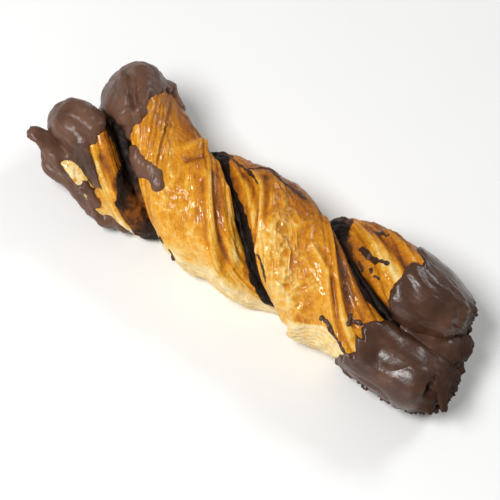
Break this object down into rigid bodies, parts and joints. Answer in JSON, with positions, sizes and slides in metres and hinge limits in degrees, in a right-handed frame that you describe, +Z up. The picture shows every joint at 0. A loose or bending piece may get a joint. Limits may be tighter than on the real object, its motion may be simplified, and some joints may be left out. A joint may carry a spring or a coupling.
{
  "type": "danish twist",
  "caption": "Twisted laminated pastry wound round a ribbon of chocolate filling, with its ends dipped in chocolate.",
  "frame": {"origin": "middle of the bounding box's footprint, on the table", "axes": "+X along the twist, towards the end whose tips lie side by side; +Z up"},
  "size_m": [0.1816, 0.0632, 0.0469],
  "materials": {
    "crust": "flaky laminated crust, golden brown with a shiny egg wash",
    "filling": "dark baked chocolate, half glossy",
    "chocolate": "set dark chocolate, satin sheen"
  },
  "bodies": {
    "root": {"strand_a": "crust", "strand_b": "crust", "filling": "filling", "dip_left": "chocolate", "dip_right": "chocolate"}
  },
  "joints": []
}
